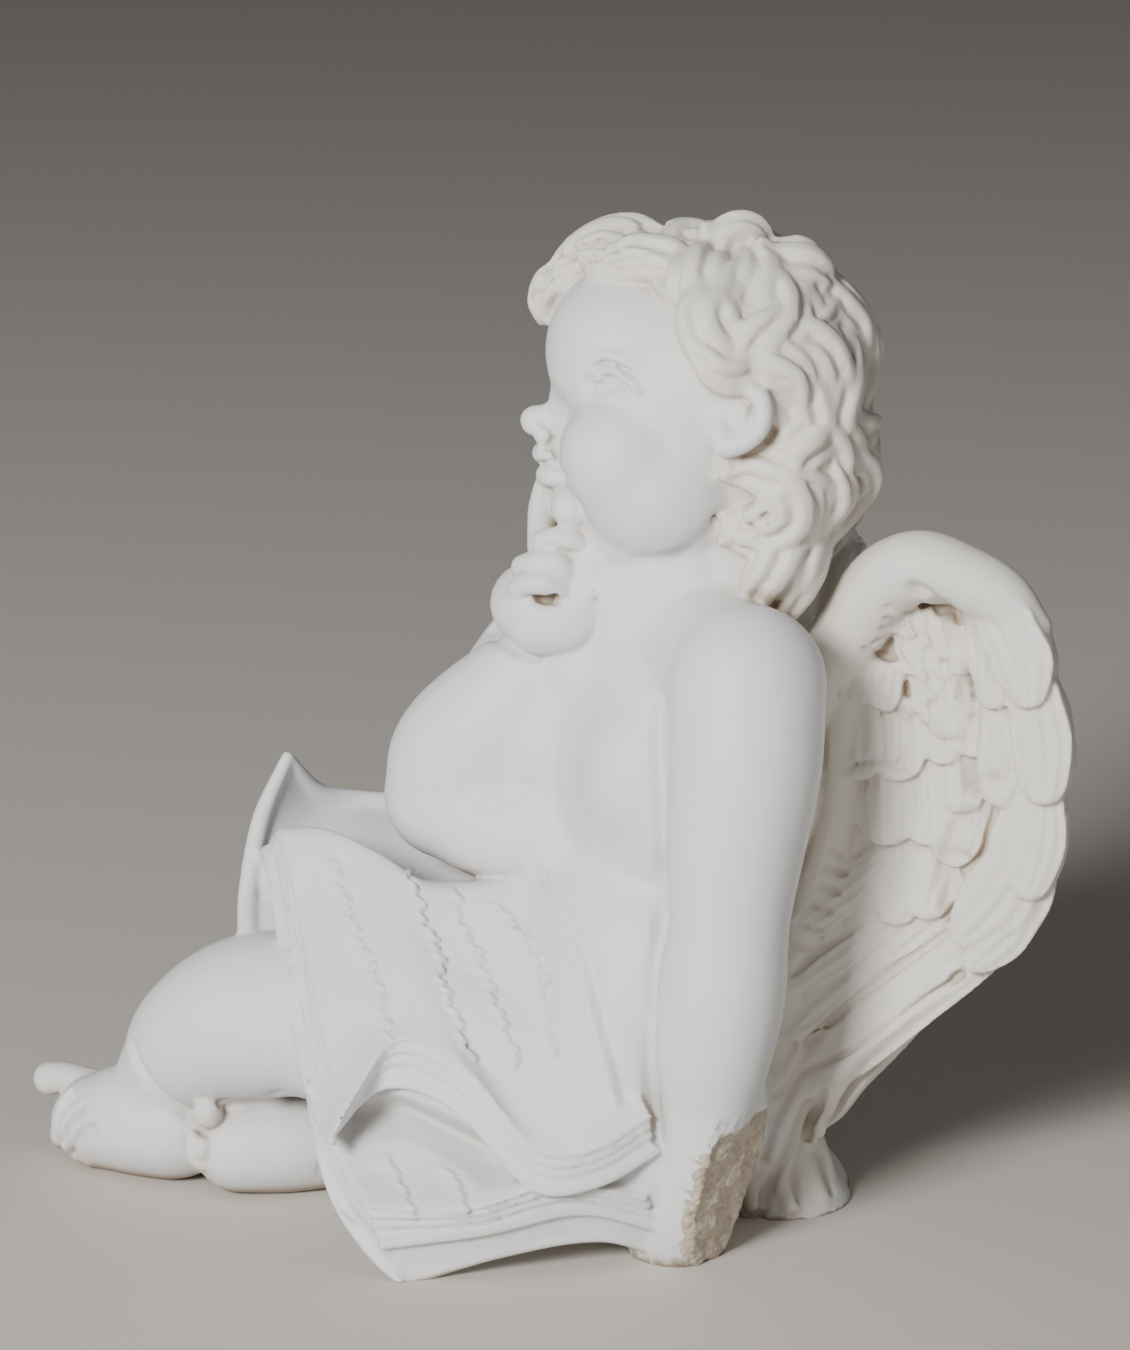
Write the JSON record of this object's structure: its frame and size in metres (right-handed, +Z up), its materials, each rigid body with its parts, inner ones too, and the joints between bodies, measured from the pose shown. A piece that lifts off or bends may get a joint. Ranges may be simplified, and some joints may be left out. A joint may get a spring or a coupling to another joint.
{
  "type": "cherub figurine",
  "caption": "Cast white plaster cherub sitting with an open book on its knees, chin on its fist, for a shelf or a table; one hand is broken off.",
  "frame": {"origin": "middle of the bounding box's underside, on the ground that the figurine stands on", "axes": "+X to the figure's left, +Y to its back, -Y the way it faces, +Z up"},
  "size_m": [0.0674, 0.1124, 0.11],
  "materials": {
    "plaster": null
  },
  "bodies": {
    "root": {"figurine": "plaster"}
  },
  "joints": []
}
